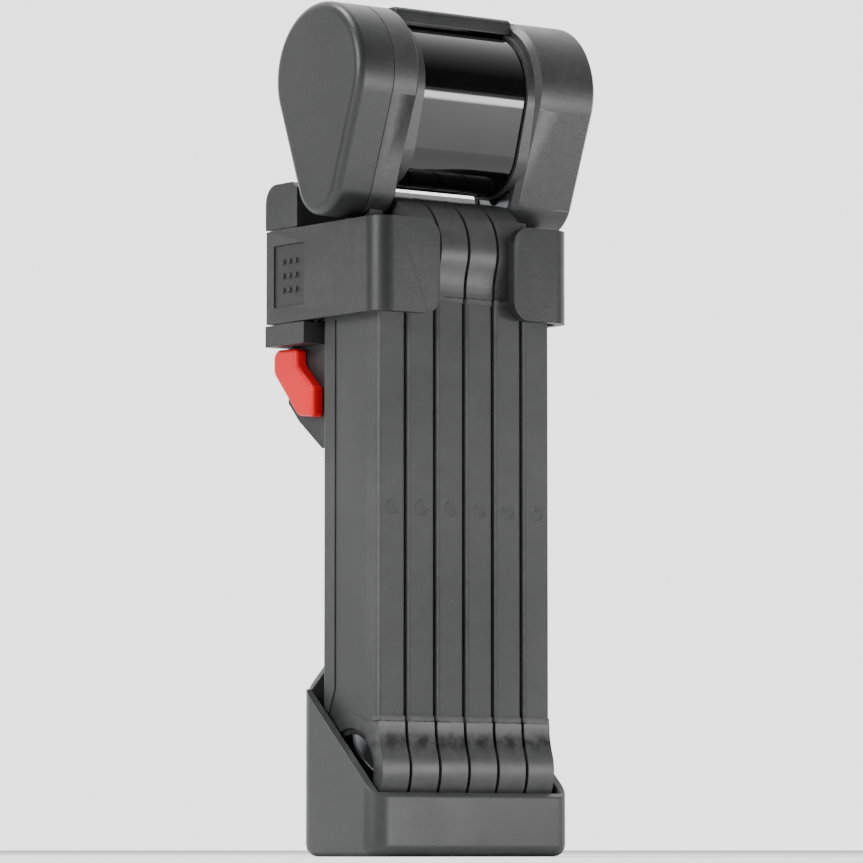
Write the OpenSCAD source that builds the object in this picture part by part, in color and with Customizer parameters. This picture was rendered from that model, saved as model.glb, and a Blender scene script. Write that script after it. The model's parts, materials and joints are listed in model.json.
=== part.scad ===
// Folding bike lock standing in its bottle-boss holder.
// X runs across the stack of links, -Y is the front, +Z is up.
// The origin is the centre of the holder's flat base.

/* [Links] */
// Distance between the two rivets of a link
link_pitch = 140.3; // [115:0.1:170]
// Height of the lower rivets above the base
low_pivot_z = 23.2; // [21:0.1:32]
// Distance from one link to the next across the stack
stack_step = 9.8; // [9.2:0.1:12]
// Gap between neighbouring link eyes
link_gap = 1.0; // [0.6:0.1:2]
// Radius of a link eye
eye_r = 14.7; // [12:0.1:18]
// Front-to-back depth of a sleeved link
sleeve_depth = 25.4; // [21:0.1:29]
// Radius that blends an eye into the straight of the link
eye_blend_r = 20; // [10:1:40]
// Thickness of the hardened steel core between the eyes
core_t = 4.4; // [3:0.1:5.5]
// Front-to-back depth of the steel core
core_depth = 21; // [16:0.1:23]
// Width of the smooth panel left open in the sleeve
panel_w = 14.2; // [8:0.1:17]
// Radius of the rivet shanks
rivet_r = 5; // [3:0.1:6]
// Radius of the domed rivet heads
dome_r = 9.4; // [8:0.1:10.5]
// Height of the domed rivet heads
dome_h = 1.9; // [1:0.1:2.4]
// Depth of the ring recess around a domed head
dome_recess = 0.8; // [0.4:0.1:1.2]

/* [Head] */
// Half the width of the head across the end caps
head_half_w = 40.5; // [38:0.1:46]
// Radius of the upper round of the end caps
cap_r = 19.7; // [17:0.1:23]
// Height of the upper round above the head pivot
cap_rise = 28.5; // [25:0.1:34]
// Radius of the rounded foot of each leg
leg_r = 9.7; // [9:0.1:12]
// Wall of the plastic shells of the head
shell_wall = 2; // [1.6:0.1:2.6]
// Chamfer of the end caps
cap_chamfer = 1.5; // [0.5:0.1:2]
// Distance from the middle to the seam of the end caps
seam_x = 28.8; // [28.4:0.1:30]
// Half the visible length of the glossy barrel
barrel_half = 17.5; // [16:0.1:17.8]
// Radius of the barrel's upper round
barrel_r = 17.4; // [15:0.1:18]
// Radius of the barrel's lower round
barrel_low_r = 13.4; // [12:0.1:14]
// Radius of the head pivot pin and of the locking bolt
pin_r = 2.6; // [2:0.1:3]
// Radius of the key plug
plug_r = 6.5; // [5:0.1:7]

/* [Holder] */
// Wall of the cup at its sides
cup_side_wall = 2.9; // [2:0.1:4]
// Wall of the cup at its front
cup_front_wall = 2; // [1.6:0.1:4]
// Height of the cup's front rim
cup_front_z = 15.5; // [13:0.1:17]
// Height of the cup's side rims at the back
cup_back_z = 45; // [40:0.5:50]
// Thickness of the cup's floor
cup_floor = 5.5; // [3:0.1:6]
// Thickness of the wall of the clamp jaws
jaw_wall = 2.5; // [2:0.1:3.5]
// Height of the clamp jaws
jaw_h = 25.5; // [20:0.5:28]
// Gap between the tips of the two jaws
jaw_gap = 25.2; // [22:0.1:32]
// Distance from the stack's middle to the mounting plane
mount_y = 34; // [32:0.5:40]
// Half the width of the spine
spine_half_w = 11; // [9:0.1:12]
// Distance between the two frame bolts
boss_spacing = 64; // [64:0.1:64]
// Radius of the frame bolt holes
boss_hole_r = 2.6; // [2.5:0.05:3.2]
// Clearance between the lock and the holder around it
slip = 0.5; // [0.3:0.1:1]

/* [Hidden] */
$fn = 64;

// Colours
plastic = [0.13, 0.13, 0.14];
steel = [0.55, 0.56, 0.58];
dark_steel = [0.20, 0.20, 0.21];
red = [0.85, 0.12, 0.14];

run = 0.05;              // running clearance of a pin in its bore
eps = 0.1;               // how far a cut passes a face

// Links
link_t = stack_step - link_gap;
sleeve_t = link_t + 0.3;
shaft_half = sleeve_depth / 2;
top_pivot_z = low_pivot_z + link_pitch;
blend_drop = sqrt(pow(eye_r + eye_blend_r, 2) - pow(shaft_half + eye_blend_r, 2));
sleeve_low_z = low_pivot_z + blend_drop + 1;
sleeve_top_z = top_pivot_z - blend_drop - 1.4;
sleeve_edge_r = 1.3;
lip_h = 1.6;
lip_out = 0.15;
panel_drop = 0.3;
panel_t = sleeve_t - 2 * panel_drop;
panel_flare_h = 9;
flush_head_r = 8;
flush_head_h = 1.4;
washer_r = 9;
stack_half = 2.5 * stack_step + link_t / 2;
function link_x(k) = (k - 3.5) * stack_step;

// Head
head_pivot_z = top_pivot_z + 17.6;
tongue_half = 5.5;
tongue_eye_r = 6;
cap_z = head_pivot_z + cap_rise;
barrel_top_z = cap_z - 1.5;
barrel_low_z = top_pivot_z + eye_r + 2.4 + barrel_low_r;
rib_top_z = cap_z + cap_r - 0.3;
rib_half = 8;
tongue_x = link_x(6);
slot_half = core_t / 2 + 0.35;
cheek_out_t = 2.8;
cheek_out_x = tongue_x + slot_half + cheek_out_t;
leg_clear = 0.6;
cheek_recess = 0.25;
leg_in_x = stack_half - stack_step + leg_clear;
cheek_in_x = leg_in_x + cheek_recess;
leg_wall = 1.6;
collar_out = 0.8;
window_gap = 0.15;
tilt_back = 35;
tilt_clear = 0.8;
core_low_z = head_pivot_z + tongue_eye_r + 1;
core_top_z = core_low_z + 9;
core_half_y = 8;
cheek_r = leg_r - shell_wall - 0.8;
cap_inner_x = head_half_w - shell_wall;
plug_z = cap_z - 1;
plug_in_x = leg_in_x + leg_wall + 0.7;
sleeve_wall = 1.7;
cover_t = 1.6;
cover_r = plug_r + 3;
cover_pin_y = cover_r + 2.2;
bolt_spring_wire = 0.3;
bolt_spring_turns = 2;
bolt_spring_gap = 0.1;
bolt_arm_t = 1.3;
bolt_arm_x = cheek_out_x + 0.1;
bolt_tip_x = tongue_x - core_t / 2 - 0.7;

// Holder
eye_low_z = low_pivot_z - eye_r;
dome_out = dome_h - dome_recess;
cup_in_x = stack_half + dome_out + slip + 0.1;
cup_out_x = cup_in_x + cup_side_wall;
cup_in_y = eye_r + slip;
cup_out_y = cup_in_y + cup_front_wall;
cup_back_y = cup_in_y + 2.4;
cup_corner_r = 5.5;
cup_peak_z = cup_back_z + 7;
liner_top_z = eye_low_z - 0.3;
jaw_in_x = cup_in_x;
jaw_out_x = jaw_in_x + jaw_wall;
jaw_in_y = eye_r + slip + 0.2;
jaw_out_y = jaw_in_y + jaw_wall + 0.4;
jaw_top_z = head_pivot_z - leg_r - 1;
jaw_low_z = jaw_top_z - jaw_h;
jaw_corner_r = 6;
jaw_tip_r = 5;
jaw_pin_x = 25;
jaw_pin_y = 21.5;
jaw_pin_r = 1.6;
knuckle_r = 4;
jaw_spring_h = 5;
jaw_back_y = mount_y - 0.5;
ear_gap = 0.4;
ear_low_z = jaw_low_z - ear_gap - 5.8;
ear_top_z = jaw_top_z + ear_gap + 12.4;
ear_corner_r = 5;
bracket_front_y = eye_r + 1.3;
bracket_mid_half = 19.5;
grip_y = [16, 30];
grip_z = [jaw_low_z + 4.3, jaw_top_z - 4.2];
grip_depth = 0.8;
nose_half = 26;
nose_low_z = ear_low_z - 28.3;
nose_gap = 0.3;
lever_t = 3.7;
lever_pin_y = mount_y - 1.8;
lever_pin_z = ear_low_z - 3;
lever_pin_r = 1.3;
lever_round_r = 2.6;
spine_front_y = cup_back_y;
spine_wall = 2.2;
spine_plate = 3.5;
spine_low_z = 10;
spine_foot_z = 46;
spine_top_z = jaw_top_z - 2.4;
boss_low_z = 56;
screw_r = 1.9;
screw_head_r = 3.4;
cup_screw_z = [19, 36];
bracket_screw_z = [ear_low_z + 13, ear_low_z + 24];

// ---- helpers ----

// Extrudes an outline drawn in Y and Z along X
module along_x(x0, x1) translate([x0, 0, 0]) rotate([90, 0, 90]) linear_extrude(x1 - x0) children();

// A round bar along X
module rod_x(r, x0, x1, y, z) translate([x0, y, z]) rotate([0, 90, 0]) cylinder(r = r, h = x1 - x0);

// A round bar along Y
module rod_y(r, y0, y1, x, z) translate([x, y0, z]) rotate([-90, 0, 0]) cylinder(r = r, h = y1 - y0);

// A block between two corners
module block(a, b) translate(a) cube(b - a);

// A rectangle with true round corners
module round_rect(x0, x1, y0, y1, r) {
    translate([x0 + r, y0]) square([x1 - x0 - 2 * r, y1 - y0]);
    translate([x0, y0 + r]) square([x1 - x0, y1 - y0 - 2 * r]);
    for (x = [x0 + r, x1 - r], y = [y0 + r, y1 - r]) translate([x, y]) circle(r);
}

// The four-sided middle of a teardrop, between the common tangents of its two rounds
module tangent_flats(r_top, z_top, r_low, z_low) {
    s = (r_top - r_low) / (z_top - z_low);
    c = sqrt(1 - s * s);
    polygon([[r_top * c, z_top - r_top * s], [-r_top * c, z_top - r_top * s],
             [-r_low * c, z_low - r_low * s], [r_low * c, z_low - r_low * s]]);
}

// Two rounds of different size joined by their common tangents
module teardrop(r_top, z_top, r_low, z_low) {
    translate([0, z_top]) circle(r_top);
    translate([0, z_low]) circle(r_low);
    tangent_flats(r_top, z_top, r_low, z_low);
}

module cap_outline(inset) teardrop(cap_r - inset, cap_z, leg_r - inset, head_pivot_z);
module cap_flats(inset) tangent_flats(cap_r - inset, cap_z, leg_r - inset, head_pivot_z);
module barrel_outline(inset) teardrop(barrel_r - inset, barrel_top_z, barrel_low_r - inset, barrel_low_z);

// A coil of round wire standing on z = 0
module coil(r, wire, h, turns) {
    ring = 8;
    steps = 18;
    n = steps * turns;
    pts = [for (i = [0:n]) let (a = i * 360 / steps, z = wire + i * (h - 2 * wire) / n)
           for (j = [0:ring - 1]) let (b = j * 360 / ring)
           [(r + wire * cos(b)) * cos(a), (r + wire * cos(b)) * sin(a), z + wire * sin(b)]];
    sides = [for (i = [0:n - 1], j = [0:ring - 1]) let (k = (j + 1) % ring)
             [i * ring + j, (i + 1) * ring + j, (i + 1) * ring + k, i * ring + k]];
    polyhedron(pts, concat([[for (j = [0:ring - 1]) j]], sides,
                           [[for (j = [ring - 1:-1:0]) n * ring + j]]), convexity = 8);
}

// ---- links ----

// The concave fillets between an eye and the straight of a link
module eye_blend(z, side) {
    zf = z + side * blend_drop;
    for (m = [-1, 1]) difference() {
        polygon([[0, zf], [m * (shaft_half + eye_blend_r), zf], [0, z]]);
        translate([m * (shaft_half + eye_blend_r), zf]) circle(eye_blend_r, $fn = 128);
    }
}

module low_eye_outline() {
    translate([0, low_pivot_z]) circle(eye_r);
    eye_blend(low_pivot_z, 1);
    translate([-shaft_half, low_pivot_z]) square([sleeve_depth, sleeve_low_z - low_pivot_z]);
}

module top_eye_outline() difference() {
    union() {
        translate([0, top_pivot_z]) circle(eye_r);
        eye_blend(top_pivot_z, -1);
        translate([-shaft_half, sleeve_top_z]) square([sleeve_depth, top_pivot_z - sleeve_top_z]);
    }
    translate([-eye_r, sleeve_top_z - eye_r]) square([2 * eye_r, eye_r]);
}

// The end of link 1 or 6 that goes up into a leg of the head
module tongue_outline() {
    translate([0, head_pivot_z]) circle(tongue_eye_r);
    translate([-tongue_half, top_pivot_z]) square([2 * tongue_half, head_pivot_z - top_pivot_z]);
    polygon([[-core_depth / 2, sleeve_top_z], [core_depth / 2, sleeve_top_z],
             [tongue_half, top_pivot_z], [-tongue_half, top_pivot_z]]);
}

// The smooth panel, which flares out where it meets the lower eye
module panel_outline() {
    w = panel_w / 2;
    f = core_depth / 2;
    polygon([[-f, sleeve_low_z - eps], [f, sleeve_low_z - eps], [f, sleeve_low_z + 1],
             [w, sleeve_low_z + panel_flare_h], [w, sleeve_top_z - 6], [-w, sleeve_top_z - 6],
             [-w, sleeve_low_z + panel_flare_h], [-f, sleeve_low_z + 1]]);
}

// side is +1 where this link's outer face looks to +X, -1 where it looks to -X
module bar(k) {
    x = link_x(k);
    ends = k == 1 || k == 6;
    low_out = k % 2 == 1 ? -1 : 1;
    top_out = -low_out;
    color(dark_steel) difference() {
        union() {
            along_x(x - link_t / 2, x + link_t / 2) low_eye_outline();
            if (!ends) along_x(x - link_t / 2, x + link_t / 2) top_eye_outline();
            if (ends) along_x(x - core_t / 2, x + core_t / 2) tongue_outline();
            translate([x - core_t / 2, -core_depth / 2, low_pivot_z])
                cube([core_t, core_depth, sleeve_top_z - low_pivot_z + eps]);
            along_x(x - panel_t / 2, x + panel_t / 2) panel_outline();
        }
        rod_x(rivet_r + run, x - link_t, x + link_t, 0, low_pivot_z);
        head_seat(k, low_out, low_pivot_z, ends);
        if (!ends) {
            rod_x(rivet_r + run, x - link_t, x + link_t, 0, top_pivot_z);
            head_seat(k, top_out, top_pivot_z, false);
        }
        if (ends) rod_x(pin_r + run, x - core_t, x + core_t, 0, head_pivot_z);
    }
}

// The seat of a rivet head in the outer face of a link
module head_seat(k, out, z, domed) {
    x = link_x(k) + out * link_t / 2;
    deep = domed ? dome_recess : flush_head_h + run;
    r = domed ? dome_r + 1.6 : flush_head_r + run;
    rod_x(r, out > 0 ? x - deep : x - eps, out > 0 ? x + eps : x + deep, 0, z);
}

// The moulded sleeve around the straight of a link, open over the panel
module sleeve(k) {
    x = link_x(k);
    h = sleeve_top_z - sleeve_low_z;
    color(plastic) difference() {
        union() {
            translate([x, 0, sleeve_low_z]) linear_extrude(h)
                round_rect(-sleeve_t / 2, sleeve_t / 2, -shaft_half, shaft_half, sleeve_edge_r);
            for (z = [sleeve_low_z, sleeve_top_z - lip_h]) translate([x, 0, z]) linear_extrude(lip_h)
                round_rect(-sleeve_t / 2 - lip_out, sleeve_t / 2 + lip_out,
                           -shaft_half - 2 * lip_out, shaft_half + 2 * lip_out, sleeve_edge_r);
        }
        translate([x - core_t / 2, -core_depth / 2, sleeve_low_z - 1]) cube([core_t, core_depth, h + 2]);
        along_x(x - sleeve_t, x + sleeve_t) panel_outline();
    }
}

// A domed rivet head on the face at x, bulging towards out
module dome(x, out, z) {
    ball = (dome_r * dome_r + dome_h * dome_h) / (2 * dome_h);
    translate([x - out * dome_recess, 0, z]) rotate([0, out * 90, 0]) rotate_extrude() intersection() {
        translate([0, dome_h - ball]) circle(ball, $fn = 360);
        square([dome_r, dome_h]);
    }
}

// The rivet through links k and k + 1
module rivet(k, z, dome_side) {
    x0 = link_x(k) - link_t / 2;
    x1 = link_x(k + 1) + link_t / 2;
    color(steel) {
        rod_x(rivet_r, x0 + (dome_side < 0 ? dome_recess : run), x1 - (dome_side > 0 ? dome_recess : run), 0, z);
        if (dome_side >= 0) rod_x(flush_head_r, x0 + run, x0 + flush_head_h, 0, z);
        if (dome_side <= 0) rod_x(flush_head_r, x1 - flush_head_h, x1 - run, 0, z);
        if (dome_side < 0) dome(x0, -1, z);
        if (dome_side > 0) dome(x1, 1, z);
    }
}

// The washer between links k and k + 1
module washer(k, z) {
    x = (link_x(k) + link_x(k + 1)) / 2;
    w = link_gap / 2 - run;
    color(steel) difference() {
        rod_x(washer_r, x - w, x + w, 0, z);
        rod_x(rivet_r + run, x - 1, x + 1, 0, z);
    }
}

// ---- head, drawn for the +X side and mirrored ----

// The way through a leg for the end of a link: open below and behind
module tongue_slot() {
    x0 = tongue_x - slot_half;
    x1 = tongue_x + slot_half;
    rod_x(tongue_eye_r + 0.4, x0, x1, 0, head_pivot_z);
    block([x0, -tongue_half - 0.4, head_pivot_z - leg_r - 1], [x1, tongue_half + 0.4, head_pivot_z]);
    block([x0, 0, head_pivot_z - leg_r - 1], [x1, leg_r + 4, head_pivot_z + tongue_eye_r + 0.4]);
}

// A leg-and-cap slab from x0 to x1 whose face at x1 (or at x0) is chamfered
module cap_slab(x0, x1, chamfer_at_x1) {
    c0 = chamfer_at_x1 ? 0 : cap_chamfer;
    c1 = chamfer_at_x1 ? cap_chamfer : 0;
    m0 = chamfer_at_x1 ? x1 - cap_chamfer : x0;
    m1 = chamfer_at_x1 ? x1 : x0 + cap_chamfer;
    for (round = [[cap_r, cap_z], [leg_r, head_pivot_z]]) {
        rod_x(round[0], chamfer_at_x1 ? x0 : m1, chamfer_at_x1 ? m0 : x1, 0, round[1]);
        translate([m0, 0, round[1]]) rotate([0, 90, 0])
            cylinder(r1 = round[0] - c0, r2 = round[0] - c1, h = m1 - m0);
    }
    along_x(chamfer_at_x1 ? x0 : m1, chamfer_at_x1 ? m0 : x1) cap_flats(0);
    hull() {
        along_x(m0, m0 + 0.01) cap_flats(c0);
        along_x(m1 - 0.01, m1) cap_flats(c1);
    }
}

module end_cap() difference() {
    cap_slab(seam_x, head_half_w, true);
    along_x(seam_x - eps, cap_inner_x) cap_outline(shell_wall);
    // a wider stack brings the end of the link past the seam
    tongue_slot();
}

module left_end_cap() color(plastic) mirror([1, 0, 0]) end_cap();

module right_end_cap() color(plastic) difference() {
    end_cap();
    rod_x(plug_r + sleeve_wall, cap_inner_x - 1, head_half_w + 1, 0, plug_z);
    rod_x(pin_r / 2, cap_inner_x - 1, head_half_w + 1, cover_pin_y, plug_z);
}

// A leg with its collar around the barrel's end and a window for the steel frame
module housing() difference() {
    union() {
        cap_slab(leg_in_x, seam_x, false);
        along_x(barrel_half, leg_in_x + cap_chamfer) barrel_outline(-collar_out);
    }
    along_x(leg_in_x + leg_wall, seam_x + 1) cap_outline(shell_wall);
    tongue_slot();
    window_x = leg_in_x + cap_chamfer + 1;
    rod_x(cheek_r + window_gap, leg_in_x - 1, window_x, 0, head_pivot_z);
    block([leg_in_x - 1, -cheek_r - window_gap, head_pivot_z],
          [window_x, cheek_r + window_gap, core_low_z + 1 + window_gap]);
    block([barrel_half - 1, -core_half_y - window_gap, core_low_z - window_gap],
          [window_x, core_half_y + window_gap, core_top_z + window_gap]);
}

module left_housing() color(plastic) mirror([1, 0, 0]) housing();
module right_housing() color(plastic) housing();

module barrel() color([0.03, 0.03, 0.035]) difference() {
    along_x(-barrel_half, barrel_half) barrel_outline(0);
    along_x(-barrel_half - 1, barrel_half + 1) barrel_outline(shell_wall);
}

// The flat rib along the top of the barrel, from leg to leg
module top_rib() color(plastic) difference() {
    along_x(-leg_in_x, leg_in_x)
        polygon([[-rib_half, barrel_top_z], [rib_half, barrel_top_z], [rib_half, rib_top_z - 1],
                 [rib_half - 1, rib_top_z], [1 - rib_half, rib_top_z], [-rib_half, rib_top_z - 1]]);
    along_x(-leg_in_x - 1, leg_in_x + 1) barrel_outline(-collar_out - run);
}

// The steel frame of the head, with a fork for each outer link
module head_core() color(steel) difference() {
    union() {
        block([-cheek_out_x, -core_half_y, core_low_z], [cheek_out_x, core_half_y, core_top_z]);
        for (m = [0, 1]) mirror([m, 0, 0])
            for (x = [[cheek_in_x, tongue_x - slot_half], [tongue_x + slot_half, cheek_out_x]]) {
                rod_x(cheek_r, x[0], x[1], 0, head_pivot_z);
                block([x[0], -cheek_r, head_pivot_z], [x[1], cheek_r, core_low_z + 1]);
            }
    }
    for (m = [0, 1]) mirror([m, 0, 0]) {
        rod_x(pin_r + run, cheek_in_x - 1, cheek_out_x + 1, 0, head_pivot_z);
    }
}

module head_pin() color(steel) rod_x(pin_r, -cheek_out_x + 0.1, -cheek_in_x - 0.1, 0, head_pivot_z);

module key_sleeve() color([0.72, 0.6, 0.32]) difference() {
    rod_x(plug_r + sleeve_wall - run, plug_in_x + 1, head_half_w, 0, plug_z);
    rod_x(plug_r + run, plug_in_x, head_half_w + 1, 0, plug_z);
}

// The key plug, with a keyway and the drum that drives the bolt
module key_plug() color([0.78, 0.68, 0.4]) difference() {
    rod_x(plug_r, plug_in_x + 0.5, head_half_w, 0, plug_z);
    block([head_half_w - 12, -0.8, plug_z - 4.2], [head_half_w + 1, 0.8, plug_z + 4.2]);
}

module dust_cover() color(plastic) difference() {
    union() {
        rod_x(cover_r, head_half_w + 0.3, head_half_w + 0.3 + cover_t, 0, plug_z);
        rod_x(3, head_half_w + 0.3, head_half_w + 0.3 + cover_t, cover_pin_y, plug_z);
        block([head_half_w + 0.3, 6, plug_z - 3], [head_half_w + 0.3 + cover_t, cover_pin_y, plug_z + 3]);
    }
    rod_x(pin_r / 2, head_half_w, head_half_w + 3, cover_pin_y, plug_z);
}

module dust_cover_pin() color(steel) {
    rod_x(pin_r / 2 - run, cap_inner_x - 0.2, head_half_w + 0.3 + cover_t, cover_pin_y, plug_z);
    rod_x(2.2, head_half_w + 0.3 + cover_t + run, head_half_w + 1.2 + cover_t, cover_pin_y, plug_z);
}

// The locking bolt through the end of link 6, with the arm that the key pulls
module lock_bolt() color(steel) {
    rod_x(pin_r, bolt_tip_x, bolt_arm_x + bolt_arm_t, 0, head_pivot_z);
    block([bolt_arm_x, -3, head_pivot_z - 3], [bolt_arm_x + bolt_arm_t, 3, head_pivot_z + 5.5]);
}

module bolt_spring() color(steel) translate([bolt_arm_x + bolt_arm_t + bolt_spring_gap, 0, head_pivot_z])
    rotate([0, 90, 0]) coil(3.4, bolt_spring_wire,
                            cap_inner_x - bolt_arm_x - bolt_arm_t - 2 * bolt_spring_gap, bolt_spring_turns);

// ---- holder ----

module cup() color(plastic) difference() {
    linear_extrude(cup_peak_z)
        round_rect(-cup_out_x, cup_out_x, -cup_out_y, cup_back_y, cup_corner_r);
    // inside of the cup
    block([-cup_in_x, -cup_in_y, cup_floor], [cup_in_x, cup_in_y, cup_peak_z + 1]);
    // low front, rims that rise to the back
    along_x(-cup_out_x - 1, cup_out_x + 1)
        polygon([[-cup_out_y - 1, cup_front_z], [-cup_in_y, cup_front_z + 1.5],
                 [cup_in_y, cup_back_z], [cup_in_y, cup_peak_z + 1], [-cup_out_y - 1, cup_peak_z + 1]]);
    // shoulders of the back wall
    for (m = [0, 1]) mirror([m, 0, 0]) translate([0, cup_in_y - 1, 0]) rotate([90, 0, 0]) mirror([0, 0, 1])
        linear_extrude(10) polygon([[cup_out_x + 1, cup_back_z], [cup_in_x, cup_back_z],
                                    [cup_in_x - 6, cup_peak_z], [cup_in_x - 6, cup_peak_z + 1],
                                    [cup_out_x + 1, cup_peak_z + 1]]);
    for (z = cup_screw_z) {
        rod_y(screw_r + run, cup_in_y - 1, cup_back_y + 1, 0, z);
        rod_y(screw_head_r + run, cup_in_y - 1, cup_in_y + 1.3, 0, z);
    }
}

module cup_liner() color([0.08, 0.08, 0.09]) translate([0, 0, cup_floor])
    linear_extrude(liner_top_z - cup_floor)
        round_rect(-cup_in_x + 0.2, cup_in_x - 0.2, -cup_in_y + 0.2, cup_in_y - 0.2, 2);

module cup_screws() color(steel) for (z = cup_screw_z) {
    rod_y(screw_r, cup_in_y + 0.2, cup_back_y + 8, 0, z);
    rod_y(screw_head_r, cup_in_y + 0.1, cup_in_y + 1.2, 0, z);
}

// The channel that carries the cup and the bracket and bolts to the frame
module spine() color(plastic) difference() {
    block([-spine_half_w, spine_front_y, spine_low_z], [spine_half_w, mount_y, spine_top_z]);
    block([spine_wall - spine_half_w, spine_front_y - 1, spine_foot_z],
          [spine_half_w - spine_wall, mount_y - spine_plate, ear_low_z]);
    block([-spine_half_w - 1, spine_front_y - 1, ear_low_z],
          [spine_half_w + 1, bracket_front_y + 4.2, spine_top_z + 1]);
    for (z = [boss_low_z, boss_low_z + boss_spacing])
        rod_y(boss_hole_r, mount_y - spine_plate - 1, mount_y + 1, 0, z);
    for (z = cup_screw_z) rod_y(screw_r + run, spine_front_y - 1, spine_front_y + 8.5, 0, z);
    for (z = bracket_screw_z) rod_y(screw_r + run, bracket_front_y, bracket_front_y + 11, 0, z);
}

// Side view of the two ears, with a round upper back corner
module ear_outline() {
    r = ear_corner_r;
    y0 = bracket_front_y + 3.2;
    translate([y0, jaw_top_z + ear_gap]) square([mount_y - y0, ear_top_z - jaw_top_z - ear_gap - r]);
    translate([y0, ear_top_z - r]) square([mount_y - y0 - r, r]);
    translate([mount_y - r, ear_top_z - r]) circle(r);
    translate([bracket_front_y, ear_low_z])
        square([mount_y - bracket_front_y, jaw_low_z - ear_gap - ear_low_z]);
}

module nose_outline() polygon([
    [bracket_front_y, ear_low_z], [mount_y - 1, ear_low_z], [mount_y - 1, ear_low_z - 15],
    [mount_y - 6, nose_low_z + 8], [bracket_front_y + 1.3, nose_low_z], [bracket_front_y, nose_low_z]]);

module bracket() color(plastic) difference() {
    union() {
        along_x(-jaw_out_x, jaw_out_x) ear_outline();
        block([-bracket_mid_half, bracket_front_y, ear_low_z],
              [bracket_mid_half, mount_y, jaw_top_z + ear_gap + 1]);
        along_x(-nose_half, nose_half) nose_outline();
    }
    // room for the head when it is tilted all the way back
    along_x(-jaw_out_x - 1, jaw_out_x + 1) translate([0, head_pivot_z]) rotate(-tilt_back)
        translate([0, -head_pivot_z]) cap_outline(-tilt_clear);
    // seat of the spine, open to the front below the ears
    block([-spine_half_w - run, bracket_front_y + 4.2 - run, ear_low_z - 1],
          [spine_half_w + run, mount_y + 1, spine_top_z + run]);
    block([-spine_half_w - run, bracket_front_y - 1, nose_low_z - 1],
          [spine_half_w + run, mount_y + 1, ear_low_z]);
    for (m = [-1, 1]) translate([m * jaw_pin_x, jaw_pin_y, ear_low_z + 1])
        cylinder(r = jaw_pin_r + run, h = jaw_top_z + 6 - ear_low_z);
    for (z = bracket_screw_z) {
        rod_y(screw_r + run, bracket_front_y - 1, bracket_front_y + 5, 0, z);
        rod_y(screw_head_r + run, bracket_front_y - 1, bracket_front_y + 1.6, 0, z);
    }
    rod_x(lever_pin_r + run, -nose_half - 1, -spine_half_w - 3, lever_pin_y, lever_pin_z);
    rod_x(2.6, -nose_half - 1, -nose_half + 5, lever_pin_y, lever_pin_z);
}

module bracket_screws() color(steel) for (z = bracket_screw_z) {
    rod_y(screw_r, bracket_front_y + 0.3, bracket_front_y + 10.5, 0, z);
    rod_y(screw_head_r, bracket_front_y + 0.2, bracket_front_y + 1.5, 0, z);
}

module jaw_pins() color(steel) for (m = [-1, 1]) translate([m * jaw_pin_x, jaw_pin_y, ear_low_z + 1.2])
    cylinder(r = jaw_pin_r, h = jaw_top_z + 5.6 - ear_low_z);

module jaw_springs() color(steel) for (m = [-1, 1])
    translate([m * jaw_pin_x, jaw_pin_y, jaw_low_z + 0.1]) coil(2.7, 0.45, jaw_spring_h - 0.3, 4);

// One jaw, drawn for the +X side: side panel, round corner, front wing and knuckle
module jaw_outline() {
    r = jaw_corner_r;
    ri = r - jaw_wall;
    translate([jaw_in_x, r - jaw_out_y]) square([jaw_wall, jaw_back_y + jaw_out_y - r]);
    translate([jaw_gap / 2 - 1, -jaw_out_y]) square([jaw_out_x - r - jaw_gap / 2 + 1, jaw_out_y - jaw_in_y]);
    difference() {
        translate([jaw_out_x - r, r - jaw_out_y]) circle(r);
        translate([-50, r - jaw_out_y]) square([100, 20]);
        translate([-50, -50]) square([50 + jaw_out_x - r, 100]);
        translate([jaw_in_x - ri, ri - jaw_in_y]) circle(ri);
        translate([-50, -jaw_in_y + ri]) square([50 + jaw_in_x, 100]);
    }
    difference() {
        union() {
            translate([jaw_pin_x, jaw_pin_y]) circle(knuckle_r);
            translate([jaw_pin_x, jaw_pin_y - 3]) square([jaw_in_x - jaw_pin_x + 0.5, 6]);
        }
        translate([jaw_pin_x, jaw_pin_y]) circle(jaw_pin_r + run);
    }
}

module jaw() difference() {
    intersection() {
        translate([0, 0, jaw_low_z]) linear_extrude(jaw_h) jaw_outline();
        translate([0, 60, 0]) rotate([90, 0, 0]) linear_extrude(120)
            round_rect(jaw_gap / 2, jaw_out_x + 20, jaw_low_z, jaw_top_z, jaw_tip_r);
    }
    translate([jaw_pin_x, jaw_pin_y, jaw_low_z - 1]) cylinder(r = knuckle_r + 0.3, h = jaw_spring_h + 1);
    block([jaw_out_x - grip_depth, grip_y[0], grip_z[0]], [jaw_out_x + 1, grip_y[1], grip_z[1]]);
}

module jaw_left() color(plastic) mirror([1, 0, 0]) jaw();
module jaw_right() color(plastic) jaw();

// The finger pad let into a jaw, with three rows of three dots
module grip() {
    y_mid = (grip_y[0] + grip_y[1]) / 2;
    z_mid = (grip_z[0] + grip_z[1]) / 2;
    block([jaw_out_x - grip_depth, grip_y[0] + 0.1, grip_z[0] + 0.1],
          [jaw_out_x - 0.4, grip_y[1] - 0.1, grip_z[1] - 0.1]);
    for (i = [-1:1], j = [-1:1])
        rod_x(0.8, jaw_out_x - grip_depth, jaw_out_x + 0.15, y_mid + i * 2.9, z_mid + j * 3.9);
}

module grip_left() color([0.1, 0.1, 0.1]) mirror([1, 0, 0]) grip();
module grip_right() color([0.1, 0.1, 0.1]) grip();

// Side view of the red lever, round about its pin
module lever_outline() {
    y = lever_pin_y;
    z = lever_pin_z;
    translate([y, z]) circle(lever_round_r);
    polygon([[y - 8.2, z + 2.2], [y, z + lever_round_r], [y + lever_round_r, z], [y + lever_round_r, z - 4],
             [y - 8.7, z - 16.2], [y - 16, z - 17], [y - 16, z - 9], [y - 8.2, z - 2]]);
}

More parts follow.
